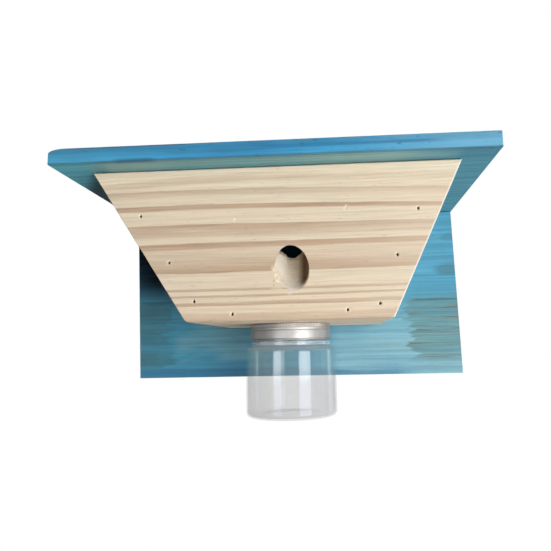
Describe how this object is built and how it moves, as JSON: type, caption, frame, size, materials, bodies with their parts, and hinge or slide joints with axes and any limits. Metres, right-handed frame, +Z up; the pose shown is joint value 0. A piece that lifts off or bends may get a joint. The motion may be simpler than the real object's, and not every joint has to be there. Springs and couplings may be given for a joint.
{
  "type": "carpenter bee trap",
  "caption": "Wall-hung bee trap: stained roof and back board, slant-sided pine box with entrances drilled upwards, and a clear jar screwed into a metal lid under the box.",
  "frame": {"origin": "centre of the back board's rear face, which lies against the wall", "axes": "+X to the right of someone facing the front, +Y from the front towards the wall, +Z up"},
  "size_m": [0.3247, 0.2, 0.2019],
  "materials": {
    "stained_wood": "blue water stain, grain showing, matt",
    "pine": "planed, unfinished",
    "aluminium": "satin, turned",
    "zinc_plate": "zinc plated",
    "zinc_screws": "zinc plated",
    "bright_nails": "bright drawn wire",
    "seal_foam": "soft foam sheet",
    "clear_plastic": "clear, moulded"
  },
  "bodies": {
    "box": {"back_board": "stained_wood", "back_board_screw_1": "zinc_screws", "back_board_screw_2": "zinc_screws", "back_board_screw_3": "zinc_screws", "back_board_screw_4": "zinc_screws", "bottom_front_nail_1": "bright_nails", "bottom_front_nail_2": "bright_nails", "bottom_panel": "pine", "front_panel": "pine", "hanger_plate_screw_1": "zinc_screws", "hanger_plate_screw_2": "zinc_screws", "hanger_plate_screw_3": "zinc_screws", "hanger_plate_screw_4": "zinc_screws", "jar_lid": "aluminium", "left_front_nail_1": "bright_nails", "left_front_nail_2": "bright_nails", "left_front_nail_3": "bright_nails", "left_hanger_plate": "zinc_plate", "left_side_panel": "pine", "lid_screw_1": "zinc_screws", "lid_screw_2": "zinc_screws", "lid_screw_3": "zinc_screws", "rear_bottom_nail_1": "bright_nails", "rear_bottom_nail_2": "bright_nails", "right_front_nail_1": "bright_nails", "right_front_nail_2": "bright_nails", "right_front_nail_3": "bright_nails", "right_hanger_plate": "zinc_plate", "right_side_panel": "pine", "roof_board": "stained_wood", "roof_front_nail_1": "bright_nails", "roof_front_nail_2": "bright_nails", "roof_front_nail_3": "bright_nails", "roof_rear_nail_1": "bright_nails", "roof_rear_nail_2": "bright_nails", "roof_rear_nail_3": "bright_nails", "roof_side_nail_1": "bright_nails", "roof_side_nail_2": "bright_nails", "roof_side_nail_3": "bright_nails", "roof_side_nail_4": "bright_nails", "roof_side_nail_5": "bright_nails", "roof_side_nail_6": "bright_nails", "underside_nail_1": "bright_nails", "underside_nail_2": "bright_nails", "underside_nail_3": "bright_nails", "underside_nail_4": "bright_nails"},
    "seal": {"seal_ring": "seal_foam"},
    "jar": {"jar": "clear_plastic"}
  },
  "joints": [
    {"name": "jar_lower", "type": "slide", "parent": "box", "child": "seal", "axis": [0, 0, -1], "range_m": [0, 0.0127]},
    {"name": "jar_unscrew", "type": "hinge", "parent": "seal", "child": "jar", "pos_m": [0.001, -0.082, -0.07], "axis": [0, 0, -1], "range_deg": [0, 1080]}
  ],
  "couplings": [
    {"joint": "jar_lower", "follows": "jar_unscrew", "m_per_rad": 0.00066845}
  ]
}
